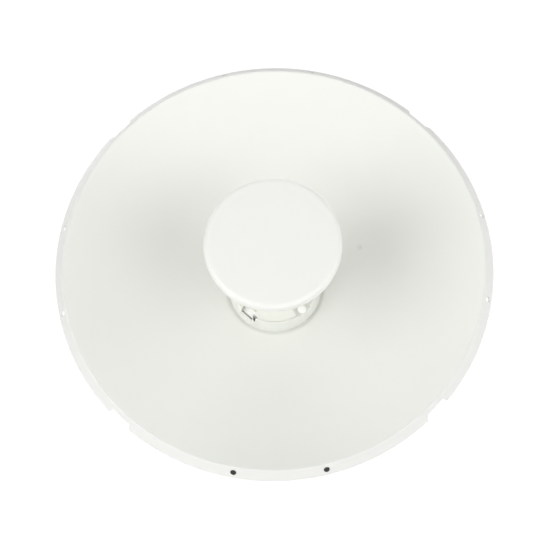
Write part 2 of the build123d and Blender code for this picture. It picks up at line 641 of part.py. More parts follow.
# ---- pole bracket and clamp jaw -----------------------------------------------------------------------
def clamp_flanges(side):
    """Both notched flanges and the web, on the -Y side of the pole for side 1, +Y for side -1."""
    meet = pole_r / sqrt(2)
    tip_x = 2 * meet - jaw_tip
    corner_x, corner_y = web_w / 2, web_y + 14
    for z in (web_h / 2, -web_h / 2 + plate):
        with BuildSketch(Plane.XY.offset(z)) as flange:
            with BuildLine():
                Polyline(
                    (corner_x, side * web_y), (corner_x, side * corner_y),
                    (tip_x + 5, side * -jaw_tip), (tip_x, side * -jaw_tip),
                    *[(x, side * y) for x, y in teeth(meet, tip_x)], (meet, side * -meet),
                )
                ThreePointArc((meet, side * -meet), (0, side * -pole_r), (-meet, side * -meet))
                Polyline(
                    (-meet, side * -meet), *[(-x, side * y) for x, y in reversed(teeth(meet, tip_x))],
                    (-tip_x, side * -jaw_tip), (-tip_x - 5, side * -jaw_tip),
                    (-corner_x, side * corner_y), (-corner_x, side * web_y), (corner_x, side * web_y),
                )
            make_face()
        extrude(flange.sketch, amount=-plate)
    with BuildSketch(across(side * web_y)) as web:
        Rectangle(web_w, web_h)
    extrude(web.sketch, amount=-side * plate)


def teeth(meet, tip_x):
    """Saw teeth along one 45 degree flank, from the tip in towards the pole."""
    count = 4
    run = (tip_x - meet) / count
    points = []
    for k in range(count, 0, -1):
        x, y = meet + run * k, -meet + run * k
        if k < count:
            points.append((x, y))
        points.append((x - run + 0.5 * tooth, y - run - 0.5 * tooth))
    return points


clamp_spots = [(m8_x, 0), (-m8_x, 0)]
with BuildPart() as pole_bracket:
    clamp_flanges(1)
    for side in (1, -1):
        with BuildSketch(Plane.YZ.offset(side * web_w / 2)) as ear:
            with Locations((pivot_y, 0)):
                Circle(ear_r)
            with Locations((pivot_y, -lock_drop)):
                Circle(lock_ear_r)
            with Locations((web_y + plate / 2, 0)):
                Rectangle(plate, web_h)
            make_hull()
            with Locations((pivot_y, 0), (pivot_y, -lock_drop)):
                Circle(m6_clear, mode=Mode.SUBTRACT)
        extrude(ear.sketch, amount=-side * plate)
    blocks(clamp_spots, 2 * m8_r + 0.2, 2 * m8_r + 0.2, web_y - 1, web_y + plate + 1, mode=Mode.SUBTRACT)
    bars([(0, 0)], web_hole_r, web_y - 1, web_y + plate + 1, Mode.SUBTRACT)
    bars([ground_spot], ground_r, web_y - 1, web_y + plate + 1, Mode.SUBTRACT)
    fillet(edges_at(pole_bracket.edges().filter_by(Axis.X), 0, web_y, web_h / 2), bend)
    fillet(edges_at(pole_bracket.edges().filter_by(Axis.Z), web_w / 2, web_y + plate), bend)

with BuildPart() as clamp_jaw:
    clamp_flanges(-1)
    bars(clamp_spots, m8_clear, -web_y + 1, -web_y - plate - 1, Mode.SUBTRACT)
    bars([(0, 0)], web_hole_r, -web_y + 1, -web_y - plate - 1, Mode.SUBTRACT)
    fillet(edges_at(clamp_jaw.edges().filter_by(Axis.X), 0, -web_y, web_h / 2), bend)

m8_nut_y = -web_y + m8_washer_h
with BuildPart() as clamp_bolts:
    bars(clamp_spots, m8_dome_r, web_y, web_y - m8_dome_h)
    fillet(clamp_bolts.faces().group_by(Axis.Y)[0].edges(), m8_dome_h - 0.4)
    blocks(clamp_spots, 2 * m8_r, 2 * m8_r, web_y, web_y + plate + 1)
    bars(clamp_spots, m8_r, web_y, m8_end_y)
    chamfer(clamp_bolts.faces().group_by(Axis.Y)[-1].edges(), 0.8)

with BuildPart() as clamp_washers:
    bars(clamp_spots, m8_washer_r, -web_y, m8_nut_y)
    bars(clamp_spots, m8_clear, -web_y - 1, m8_nut_y + 1, Mode.SUBTRACT)

with BuildPart() as clamp_nuts:
    hexagons(clamp_spots, m8_flats, m8_nut_y, m8_nut_y + m8_nut_h, m8_r + 0.02)

# ---- tilt hardware: bolt heads and washers outside the dish's ears, nuts inside the bracket's ----------
head_x = ear_x + plate + slide_gap
pivot_spots = [(pivot_y, 0)]
lock_spots = [(pivot_y, -lock_drop)]
ear_inside = web_w / 2 - plate


def tilt_bolt(spots):
    side_bars(spots, m6_r, ear_inside - m6_nut_h - 1.5, head_x + m6_washer_h)
    side_hexagons(spots, m6_flats, head_x + m6_washer_h, head_x + m6_washer_h + m6_head_h)


with BuildPart() as pivot_bolts:
    tilt_bolt(pivot_spots)
with BuildPart() as lock_bolts:
    tilt_bolt(lock_spots)
with BuildPart() as tilt_washers:
    side_bars(pivot_spots + lock_spots, m6_washer_r, head_x, head_x + m6_washer_h, m6_r + 0.02)
with BuildPart() as tilt_nuts:
    side_hexagons(pivot_spots + lock_spots, m6_flats, ear_inside - m6_nut_h, ear_inside, m6_r + 0.02)

# ---- earthing screw, in the pole bracket's web ----------------------------------------------------------
with BuildPart() as ground_screw:
    bars([ground_spot], ground_r - 0.02, web_y - ground_head_h, web_y + plate + 3)
    bars([ground_spot], 2 * ground_r, web_y, web_y - ground_flange_h)
    hexagons([ground_spot], ground_flats, web_y - ground_flange_h, web_y - ground_head_h)

pieces = {
    "reflector": reflector, "rim_plugs": rim_plugs, "dish_bracket": dish_bracket,
    "bracket_screws": bracket_screws, "bracket_nuts": bracket_nuts, "hub_gasket": hub_gasket,
    "feed_collar": feed_collar,
    "collar_pegs": collar_pegs, "latch_left": latch_left, "latch_right": latch_right,
    "feed_tube": feed_tube, "feed_tail": feed_tail, "led_lens": led_lens, "main_board": main_board,
    "board_screws": board_screws, "shield_cans": shield_cans, "ethernet_jack": ethernet_jack,
    "reset_switch": reset_switch, "reset_button": reset_button, "radiator": radiator,
    "cap_shell": cap_shell, "cap_back": cap_back, "cap_seal": cap_seal, "subreflector": subreflector,
    "rear_housing": rear_housing, "housing_screws": housing_screws, "port_cover": port_cover,
    "cable_grommet": cable_grommet, "pole_bracket": pole_bracket, "clamp_jaw": clamp_jaw,
    "clamp_bolts": clamp_bolts, "clamp_washers": clamp_washers, "clamp_nuts": clamp_nuts,
    "pivot_bolts": pivot_bolts, "lock_bolts": lock_bolts, "tilt_washers": tilt_washers,
    "tilt_nuts": tilt_nuts, "ground_screw": ground_screw,
}
for name, piece in pieces.items():
    piece.part.label = name
    export_step(piece.part, f"parts/{name}.step")
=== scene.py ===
"""Looks of the outdoor wireless bridge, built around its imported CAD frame.

All sizes are in metres in the part's own frame: the dish looks along -Y, +Z is up and the origin is on
the pole's axis, level with the dish's axis. A piece that replaces a CAD node is placed by that node's box.
"""

import json
import math

import bmesh
import bpy
from mathutils import Matrix, Vector

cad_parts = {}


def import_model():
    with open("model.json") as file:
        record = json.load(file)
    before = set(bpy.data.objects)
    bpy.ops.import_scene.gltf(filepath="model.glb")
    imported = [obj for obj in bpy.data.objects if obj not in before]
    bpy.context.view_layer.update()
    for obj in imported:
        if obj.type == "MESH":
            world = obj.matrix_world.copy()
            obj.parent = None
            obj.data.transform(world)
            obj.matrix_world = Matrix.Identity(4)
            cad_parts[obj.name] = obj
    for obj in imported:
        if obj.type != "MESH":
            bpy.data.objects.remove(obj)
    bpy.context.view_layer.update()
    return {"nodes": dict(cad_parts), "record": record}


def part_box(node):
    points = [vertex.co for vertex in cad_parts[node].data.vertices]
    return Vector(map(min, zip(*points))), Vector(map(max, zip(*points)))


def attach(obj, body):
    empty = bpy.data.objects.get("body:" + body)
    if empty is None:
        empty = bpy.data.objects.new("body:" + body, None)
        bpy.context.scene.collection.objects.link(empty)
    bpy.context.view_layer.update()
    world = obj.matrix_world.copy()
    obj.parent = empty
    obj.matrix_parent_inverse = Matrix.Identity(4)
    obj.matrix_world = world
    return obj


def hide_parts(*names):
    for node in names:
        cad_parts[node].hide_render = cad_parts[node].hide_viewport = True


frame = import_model()

MM = 0.001
slot_of = {part["node"]: part["material_slot"] for part in frame["record"]["subparts"]}
body_of = {
    node: body for body, nodes in frame["record"]["behaviour"]["bodies"].items() for node in nodes
}

# ---- sizes shared by the pieces ------------------------------------------------------------------
REFLECTOR_LOW, REFLECTOR_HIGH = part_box("reflector")
RIM_Y = REFLECTOR_LOW.y                 # the rim's front edge
RIM_R = REFLECTOR_HIGH.x                # the skirt's outer radius, at its rear edge
LAND_REAR_Y = REFLECTOR_HIGH.y          # the back of the flat land in the middle
SHEET = 1.0 * MM                        # the dish's sheet thickness
LIP_R = 201.1 * MM                      # where the paraboloid ends and the lip begins
LIP_BEND = 1.4 * MM                     # the lip's bend radius
SKIRT = math.radians(38.3)              # the skirt's angle from the dish's axis
FOCAL = 127.2 * MM                      # the paraboloid's focal length
LAND_R = 47.3 * MM                      # the flat land in the middle
LAND_STEP = 1.0 * MM                    # the step between the land and the paraboloid
HUB_HOLE_R = 31.0 * MM
RIM_HOLE_R = 2.5 * MM
RIM_HOLE_AT = 206.2 * MM                # how far the rim's holes are from the axis
RIM_HOLE_ANGLE = math.radians(12.0)     # how far each hole is turned from straight up, down or sideways
# round the hub: places in degrees, their distance from the axis and the radius of their holes
HUB_SCREWS, HUB_SCREW_AT, HUB_SCREW_R = (69, 111, 188, 352), 37.4 * MM, 2.25 * MM
PEGS, PEG_AT, PEG_HOLE_R = (-48, 132), 38.3 * MM, 2.5 * MM
LATCHES = (-134, 46)
LATCH_WINDOW = (33.4 * MM, 42.4 * MM, 8.2 * MM, 1.0 * MM)   # radii, half width and corner radius
COLLAR_INNER_R = 40.8 * MM              # the cream front face of the collar, inside its groove
ROUND = 384                             # faces round the dish
SMALL_ROUND = 192                       # faces round the cap and the tube

# ---- colours, in linear light --------------------------------------------------------------------
DISH_COLOUR = (0.815, 0.825, 0.785)
SKIRT_SHADE_COLOUR = (0.760, 0.762, 0.742)    # painted shade: the skirt past the lip is a little darker
SCUFF_COLOUR = (0.30, 0.31, 0.29)
# painted shade: the darker ring in the corner round the hub
HUB_SHADE_COLOUR = (0.44, 0.45, 0.39)
WORN_PAINT = (0.55, 0.55, 0.52)
CAP_COLOUR = (0.826, 0.830, 0.800)
FEED_COLOUR = (0.825, 0.833, 0.790)
PLATFORM_COLOUR = (0.805, 0.808, 0.758)
LATCH_COLOUR = (0.910, 0.908, 0.870)
GLOW = 0.35                             # share of the light that soaks into the feed's plastics

# ---- the scuff on the dish -----------------------------------------------------------------------
SCUFF_AT = (85.4 * MM, 35.4 * MM)
SCUFF_R, SCUFF_FADE_R, SCUFF_SHARE = 1.4 * MM, 3.6 * MM, 0.16

# ---- stage ---------------------------------------------------------------------------------------
FLOOR_Z, FLOOR_SIZE = -0.95, 60.0
FLOOR_NEAR, FLOOR_FAR = 1.5, 9.0        # the floor's glow grows between these distances
NEAR_GLOW, FAR_GLOW = 0.42, 0.9
CAMERA_AIM = Vector((0.83 * MM, RIM_Y, -12.8 * MM))
CAMERA_AROUND, CAMERA_HEIGHT, CAMERA_ROLL = math.radians(0.5), math.radians(-19.37), math.radians(-1.71)
CAMERA_DISTANCE, LENS, SENSOR = 1.585, 109.0, 36.0
LIGHT_DISTANCE = 1.7
LIGHTS = (                              # name, azimuth and elevation in degrees, size in m, power in W
    ("left_front", -46, -15, 1.4, 14.8),
    ("left_side", -75, -25, 0.9, 2.9),
    ("right_front", 46, -15, 1.4, 3.6),
    ("right_near", 38, -25, 0.9, 4.9),
    ("right_low", 75, -25, 0.9, 4.9),
    ("right_side", 75, 10, 0.9, 2.7),
    ("above", 0, 88, 1.2, 8.0),
    ("below", 0, -65, 1.0, 2.4),
    ("back_left", -150, 30, 1.2, 14.0),
    ("back_right", 140, 15, 1.2, 9.0),
)
WORLD_FRONT, WORLD_BEHIND, BACKDROP = 0.555, 0.30, 1.05


# ---- node graph helpers --------------------------------------------------------------------------
class Graph:
    """One material's node tree, with short calls for the nodes that the finishes share."""

    def __init__(self, name):
        self.material = bpy.data.materials.new(name)
        self.material.use_nodes = True
        self.tree = self.material.node_tree
        self.tree.nodes.clear()
        self.where = self.add("ShaderNodeTexCoord").outputs["Object"]

    def add(self, kind, inputs=None, **settings):
        node = self.tree.nodes.new(kind)
        for key, value in settings.items():
            setattr(node, key, value)
        for key, value in (inputs or {}).items():
            if isinstance(value, bpy.types.NodeSocket):
                self.tree.links.new(value, node.inputs[key])
            else:
                node.inputs[key].default_value = value
        return node

    def noise(self, scale, detail=2.0, roughness=0.5, where=None):
        inputs = {"Vector": where or self.where, "Scale": scale, "Detail": detail, "Roughness": roughness}
        return self.add("ShaderNodeTexNoise", inputs).outputs["Fac"]

    def cells(self, scale):
        return self.add("ShaderNodeTexVoronoi", {"Vector": self.where, "Scale": scale}).outputs["Color"]

    def stretched(self, scale):
        """The object's coordinates scaled apart, for grain that runs one way."""
        return self.add("ShaderNodeMapping", {"Vector": self.where, "Scale": scale}).outputs["Vector"]

    def span(self, value, low, high, out_low=0.0, out_high=1.0):
        inputs = {"Value": value, "From Min": low, "From Max": high, "To Min": out_low, "To Max": out_high}
        return self.add("ShaderNodeMapRange", inputs).outputs["Result"]

    def math(self, operation, a, b=0.0):
        return self.add("ShaderNodeMath", {0: a, 1: b}, operation=operation).outputs[0]

    def mix(self, share, a, b):
        node = self.add("ShaderNodeMix", {"Factor": share}, data_type="RGBA")
        for socket, value in ((node.inputs[6], a), (node.inputs[7], b)):
            if isinstance(value, bpy.types.NodeSocket):
                self.tree.links.new(value, socket)
            else:
                socket.default_value = (*value, 1.0)
        return node.outputs[2]

    def depth(self):
        return self.add("ShaderNodeSeparateXYZ", {"Vector": self.where}).outputs["Y"]

    def across_from(self, x, z):
        """Distance from a line along Y through X, Z."""
        flat = self.add("ShaderNodeVectorMath", {0: self.where, 1: (1.0, 0.0, 1.0)}, operation="MULTIPLY")
        inputs = {0: flat.outputs["Vector"], 1: (x, 0.0, z)}
        return self.add("ShaderNodeVectorMath", inputs, operation="DISTANCE").outputs["Value"]

    def edges(self, radius):
        """1 along sharp edges and 0 on open faces, with the rounded normal that goes with it."""
        soft = self.add("ShaderNodeBevel", {"Radius": radius}, samples=4).outputs["Normal"]
        true = self.add("ShaderNodeNewGeometry").outputs["Normal"]
        dot = self.add("ShaderNodeVectorMath", {0: soft, 1: true}, operation="DOT_PRODUCT")
        return self.span(dot.outputs["Value"], 0.995, 0.85), soft

    def bump(self, height, strength, distance, normal=None):
        inputs = {"Height": height, "Strength": strength, "Distance": distance}
        if normal is not None:
            inputs["Normal"] = normal
        return self.add("ShaderNodeBump", inputs).outputs["Normal"]

    def surface(self, **inputs):
        names = {key.replace("_", " "): value for key, value in inputs.items()}
        node = self.add("ShaderNodeBsdfPrincipled", names)
        self.add("ShaderNodeOutputMaterial", {"Surface": node.outputs["BSDF"]})
        return self.material


# ---- finishes ------------------------------------------------------------------------------------
def varied(graph, colour, scale, amount):
    """The colour, drifting a little darker and lighter over the surface."""
    drift = graph.noise(scale, 3.0)
    darker = tuple(c * (1 - amount) for c in colour)
    lighter = tuple(min(1.0, c * (1 + amount)) for c in colour)
    return graph.mix(drift, darker, lighter)


def dish_paint():
    """Satin powder coat: fine orange peel, a slow drift of tone, one faint grey scuff, and painted shade in
    the corner round the hub."""
    graph = Graph("dish_paint")
    colour = varied(graph, DISH_COLOUR, 9.0, 0.012)
    spot = graph.span(graph.across_from(*SCUFF_AT), SCUFF_R, SCUFF_FADE_R, SCUFF_SHARE, 0.0)
    front = graph.span(graph.depth(), LAND_REAR_Y - 14 * MM, LAND_REAR_Y - 12 * MM, 1.0, 0.0)
    colour = graph.mix(graph.math("MULTIPLY", spot, front), colour, SCUFF_COLOUR)
    # painted shade: a darker ring round the foot of the hub's collar
    corner = graph.span(graph.across_from(0.0, 0.0), LAND_R + 0.8 * MM, LAND_R + 2.4 * MM, 0.26, 0.0)
    colour = graph.mix(corner, colour, HUB_SHADE_COLOUR)
    # painted shade: the skirt and lip past the paraboloid are darker
    skirt = graph.span(graph.across_from(0.0, 0.0), LIP_R - 0.6 * MM, LIP_R + 0.8 * MM)
    colour = graph.mix(skirt, colour, SKIRT_SHADE_COLOUR)
    worn, soft = graph.edges(0.5 * MM)
    colour = graph.mix(graph.math("MULTIPLY", worn, 0.10), colour, WORN_PAINT)
    peel = graph.noise(1100.0, 2.0)
    speck = graph.noise(420.0, 4.0)
    height = graph.math("ADD", peel, graph.math("MULTIPLY", speck, 0.6))
    rough = graph.span(graph.noise(60.0, 3.0), 0.3, 0.7, 0.46, 0.56)
    normal = graph.bump(height, 0.16, 0.05 * MM, soft)
    return graph.surface(Base_Color=colour, Roughness=rough, Normal=normal)


def moulded_plastic(name, colour, rough, grain=0.10, glow=0.0, inner=None):
    """Moulded plastic with a fine grain. Glow is the share of light that soaks in; inner is a radius
    and the colour inside it."""
    graph = Graph(name)
    shade = varied(graph, colour, 14.0, 0.010)
    if inner:
        radius, tint = inner
        inside = graph.span(graph.across_from(0.0, 0.0), radius, radius + 0.3 * MM, 1.0, 0.0)
        shade = graph.mix(inside, shade, tint)
    worn, soft = graph.edges(0.35 * MM)
    shade = graph.mix(graph.math("MULTIPLY", worn, 0.06), shade, tuple(0.8 * c for c in colour))
    texture = graph.noise(2600.0, 1.5)
    flow = graph.noise(35.0, 2.0)
    height = graph.math("ADD", texture, graph.math("MULTIPLY", flow, 0.8))
    roughness = graph.span(graph.noise(90.0, 3.0), 0.3, 0.7, rough - 0.04, rough + 0.05)
    normal = graph.bump(height, grain, 0.04 * MM, soft)
    return graph.surface(Base_Color=shade, Roughness=roughness, Normal=normal, Subsurface_Weight=glow,
                         Subsurface_Radius=(1.0, 0.9, 0.75), Subsurface_Scale=3.0 * MM)


def galvanised(name):
    """Zinc coated steel: spangled cells that differ in tone and gloss, duller where it is handled."""
    graph = Graph(name)
    spangle = graph.cells(260.0)
    wobble = graph.noise(120.0, 4.0)
    tone = graph.add("ShaderNodeRGBToBW", {"Color": spangle}).outputs["Val"]
    mixed = graph.math("ADD", graph.math("MULTIPLY", tone, 0.6), graph.math("MULTIPLY", wobble, 0.4))
    colour = graph.mix(graph.span(mixed, 0.2, 0.8), (0.40, 0.42, 0.44), (0.66, 0.68, 0.70))
    bloom = graph.span(graph.noise(28.0, 5.0, 0.65), 0.55, 0.75, 0.0, 0.35)
    colour = graph.mix(bloom, colour, (0.72, 0.73, 0.73))
    worn, soft = graph.edges(0.5 * MM)
    colour = graph.mix(graph.math("MULTIPLY", worn, 0.5), colour, (0.80, 0.81, 0.82))
    rough = graph.math("ADD", graph.span(mixed, 0.2, 0.8, 0.34, 0.52), graph.math("MULTIPLY", bloom, 0.3))
    normal = graph.bump(mixed, 0.22, 0.06 * MM, soft)
    return graph.surface(Base_Color=colour, Metallic=0.92, Roughness=rough, Normal=normal)


def bright_metal(name, dark, light, rough, grain=(60.0, 900.0, 60.0)):
    """Plated or stainless metal with fine drawn grain and brighter edges."""
    graph = Graph(name)
    drawn = graph.noise(1.0, 3.0, 0.6, graph.stretched(grain))
    patches = graph.noise(140.0, 3.0)
    colour = graph.mix(graph.span(patches, 0.3, 0.7), dark, light)
    worn, soft = graph.edges(0.3 * MM)
    colour = graph.mix(graph.math("MULTIPLY", worn, 0.5), colour, tuple(min(1.0, 1.15 * c) for c in light))
    roughness = graph.span(drawn, 0.3, 0.7, rough - 0.06, rough + 0.08)
    normal = graph.bump(drawn, 0.12, 0.03 * MM, soft)
    return graph.surface(Base_Color=colour, Metallic=1.0, Roughness=roughness, Normal=normal)


def rubber(name):
    graph = Graph(name)
    colour = varied(graph, (0.028, 0.028, 0.030), 60.0, 0.25)
    dust = graph.span(graph.noise(45.0, 5.0, 0.6), 0.55, 0.8, 0.0, 0.25)
    colour = graph.mix(dust, colour, (0.11, 0.11, 0.105))
    worn, soft = graph.edges(0.3 * MM)
    colour = graph.mix(graph.math("MULTIPLY", worn, 0.3), colour, (0.09, 0.09, 0.09))
    normal = graph.bump(graph.noise(1800.0, 2.0), 0.25, 0.05 * MM, soft)
    rough = graph.span(graph.noise(150.0), 0.3, 0.7, 0.66, 0.82)
    return graph.surface(Base_Color=colour, Roughness=rough, Normal=normal)


def laminate(name):
    """Circuit board: solder mask over copper tracks, which show as a lighter raised pattern."""
    graph = Graph(name)
    inputs = {"Vector": graph.where, "Scale": 1.0 / (9.0 * MM), "Mortar Size": 0.035,
              "Brick Width": 0.9, "Row Height": 0.22}
    tracks = graph.add("ShaderNodeTexBrick", inputs).outputs["Fac"]
    mask = varied(graph, (0.012, 0.085, 0.035), 80.0, 0.2)
    colour = graph.mix(tracks, mask, (0.03, 0.17, 0.07))
    worn, soft = graph.edges(0.2 * MM)
    colour = graph.mix(worn, colour, (0.42, 0.36, 0.20))
    normal = graph.bump(tracks, 0.4, 0.05 * MM, soft)
    rough = graph.span(graph.noise(200.0), 0.3, 0.7, 0.24, 0.36)
    return graph.surface(Base_Color=colour, Roughness=rough, Normal=normal)


def clear_lens(name):
    graph = Graph(name)
    frost = graph.noise(700.0, 3.0)
    colour = varied(graph, (0.86, 0.92, 0.88), 40.0, 0.03)
    normal = graph.bump(frost, 0.2, 0.05 * MM)
    rough = graph.span(frost, 0.3, 0.7, 0.25, 0.4)
    return graph.surface(Base_Color=colour, Roughness=rough, Transmission_Weight=0.7, Normal=normal)


finishes = {
    "dish_paint": dish_paint(),
    "cap_plastic": moulded_plastic("cap_plastic", CAP_COLOUR, 0.42),
    "feed_plastic": moulded_plastic("feed_plastic", FEED_COLOUR, 0.44, glow=GLOW),
    "latch_plastic": moulded_plastic("latch_plastic", LATCH_COLOUR, 0.40, glow=GLOW),
    "dark_rubber": rubber("dark_rubber"),
    "zinc_steel": galvanised("zinc_steel"),
    "fastener_steel": bright_metal("fastener_steel", (0.50, 0.50, 0.49), (0.64, 0.64, 0.62), 0.26),
    "washer_steel": bright_metal("washer_steel", (0.46, 0.46, 0.46), (0.60, 0.60, 0.59), 0.33),
    "board_laminate": laminate("board_laminate"),
    "can_tin": bright_metal("can_tin", (0.58, 0.58, 0.57), (0.70, 0.70, 0.68), 0.30, (500.0, 40.0, 40.0)),
    "radiator_brass": bright_metal("radiator_brass", (0.62, 0.44, 0.16), (0.78, 0.58, 0.26), 0.28),
    "subreflector_alu": bright_metal("subreflector_alu", (0.66, 0.67, 0.68), (0.78, 0.79, 0.80), 0.32),
    "lens_clear": clear_lens("lens_clear"),
    "jack_black": moulded_plastic("jack_black", (0.020, 0.020, 0.022), 0.38, 0.2),
}
collar_finish = moulded_plastic("collar_plastic", FEED_COLOUR, 0.44, glow=GLOW,
                                inner=(COLLAR_INNER_R, PLATFORM_COLOUR))


# ---- mesh helpers --------------------------------------------------------------------------------
def piece(name, mesh, node, crease=32.0):
    """A finished mesh as a piece that stands for a CAD node, on that node's body, in its finish."""
    obj = bpy.data.objects.new(name, mesh)
    bpy.context.scene.collection.objects.link(obj)
    mesh.polygons.foreach_set("use_smooth", [True] * len(mesh.polygons))
    mesh.set_sharp_from_angle(angle=math.radians(crease))
    obj.data.materials.append(finishes[slot_of[node]])
    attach(obj, body_of[node])
    return obj


def stand_for(name, mesh, node, crease=32.0):
    obj = piece(name, mesh, node, crease)
    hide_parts(node)
    return obj


def mesh_from(name, rings, closed=False, place=Matrix.Identity(4)):
    """A skin over rings of equal length. Closed joins the last to the first, else the ends are capped."""
    bm = bmesh.new()
    made = [[bm.verts.new(place @ Vector(point)) for point in ring] for ring in rings]
    pairs = list(zip(made, made[1:]))
    if closed:
        pairs.append((made[-1], made[0]))
    for low, high in pairs:
        count = len(low)
        for i in range(count):
            j = (i + 1) % count
            bm.faces.new((low[i], low[j], high[j], high[i]))
    if not closed:
        bm.faces.new(made[0])
        bm.faces.new(made[-1])
    bmesh.ops.recalc_face_normals(bm, faces=bm.faces)
    mesh = bpy.data.meshes.new(name)
    bm.to_mesh(mesh)
    bm.free()
    return mesh


def ring_round_y(radii, depths):
    """Points at even angles round Y, with a radius and a depth for each."""
    count = len(radii)
    return [(radius * math.cos(2 * math.pi * i / count), y, radius * math.sin(2 * math.pi * i / count))
            for i, (radius, y) in enumerate(zip(radii, depths))]


def circle(radius, y, count):
    return ring_round_y([radius] * count, [y] * count)


def turned(name, outline, faces, closed=True, place=Matrix.Identity(4)):
    """A shape turned about Y from (radius, y) points: a ring when closed, else capped at both ends."""
    rings = [circle(radius, y, faces) for radius, y in outline]
    return mesh_from(name, rings, closed=closed, place=place)


def arc(centre, radius, start, end, steps):
    """Points of an arc in the (radius, y) plane; 0 degrees points forwards and 90 outwards."""
    points = []
    for i in range(steps + 1):
        angle = math.radians(start + (end - start) * i / steps)
        points.append((centre[0] + radius * math.sin(angle), centre[1] - radius * math.cos(angle)))
    return points


def joined(name, meshes):
    """Several meshes as one."""
    bm = bmesh.new()
    for mesh in meshes:
        bm.from_mesh(mesh)
        bpy.data.meshes.remove(mesh)
    whole = bpy.data.meshes.new(name)
    bm.to_mesh(whole)
    bm.free()
    return whole


def cut(mesh, cutters):
    """The mesh with the cutters' space taken out of it."""
    body = bpy.data.objects.new("cut_body", mesh)
    tool = bpy.data.objects.new("cut_tool", joined("cut_tool", cutters))
    for obj in (body, tool):
        bpy.context.scene.collection.objects.link(obj)
    modifier = body.modifiers.new("cut", "BOOLEAN")
    modifier.operation = "DIFFERENCE"
    modifier.solver = "EXACT"
    modifier.object = tool
    bpy.context.view_layer.update()
    result = bpy.data.meshes.new_from_object(body.evaluated_get(bpy.context.evaluated_depsgraph_get()))
    for obj in (body, tool):
        old = obj.data
        bpy.data.objects.remove(obj)
        bpy.data.meshes.remove(old)
    return result


def rod(radius, start, end, faces=48):
    """A round bar from one point to another."""
    start, end = Vector(start), Vector(end)
    turn = (end - start).to_track_quat("Z", "Y").to_matrix().to_4x4()
    rings = [[(x, y, z) for x, _, y in circle(radius, 0.0, faces)] for z in (0.0, (end - start).length)]
    return mesh_from("rod", rings, place=Matrix.Translation(start) @ turn)


def prism(outline, place, low, high):
    """A straight prism over an outline in its own XY, between two heights along its own Z."""
    return mesh_from("prism", [[(x, y, z) for x, y in outline] for z in (low, high)], place=place)


def radial_place(angle, y):
    """A frame at depth y whose X runs outwards along a radius, Y sideways, and Z forwards."""
    a = math.radians(angle)
    out = Vector((math.cos(a), 0, math.sin(a)))
    side = Vector((-math.sin(a), 0, math.cos(a)))
    ahead = out.cross(side)
    turn = Matrix((out, side, ahead)).transposed().to_4x4()
    return Matrix.Translation((0, y, 0)) @ turn


def rounded_box(x0, x1, half, corner, steps=4):
    """A rectangle's outline with rounded corners."""
    points = []
    centres = ((x1 - corner, half - corner), (x0 + corner, half - corner),
               (x0 + corner, corner - half), (x1 - corner, corner - half))
    for quarter, (cx, cy) in enumerate(centres):
        for i in range(steps + 1):
            a = math.radians(90 * quarter + 90 * i / steps)
            points.append((cx + corner * math.cos(a), cy + corner * math.sin(a)))
    return points


# ---- reflector: land, step, paraboloid, rolled lip and flared skirt ------------------------------
def reflector_side(offset):
    """One side of the sheet as (radius, y) points from the land's edge out to the skirt's rear edge."""
    slope_end = math.atan(LIP_R / (2 * FOCAL))
    bend_r = LIP_R + LIP_BEND * math.sin(slope_end)
    bend_y = RIM_Y + LIP_BEND
    lip_y = bend_y - LIP_BEND * math.cos(slope_end)
    vertex_y = lip_y + LIP_R**2 / (4 * FOCAL)
    points = []
    start_r, steps = LAND_R + LAND_STEP, 48
    for i in range(steps):
        r = start_r + (LIP_R - start_r) * i / steps
        slope = math.atan(r / (2 * FOCAL))
        y = vertex_y - r**2 / (4 * FOCAL)
        points.append((r + offset * math.sin(slope), y + offset * math.cos(slope)))
    bend = LIP_BEND - offset
    points += arc((bend_r, bend_y), bend, -math.degrees(slope_end), 90 - math.degrees(SKIRT), 14)
    last_r, last_y = points[-1]
    end_r = RIM_R - offset * math.cos(SKIRT)
    for share in (0.25, 0.5, 0.75, 1.0):
        run = (end_r - last_r) * share
        points.append((last_r + run, last_y + run / math.tan(SKIRT)))
    return points


def skirt_y(front, radius):
    """The depth of the skirt's outside at a radius."""
    (r0, y0), (r1, y1) = front[-5], front[-1]
    return y0 + (radius - r0) * (y1 - y0) / (r1 - r0)


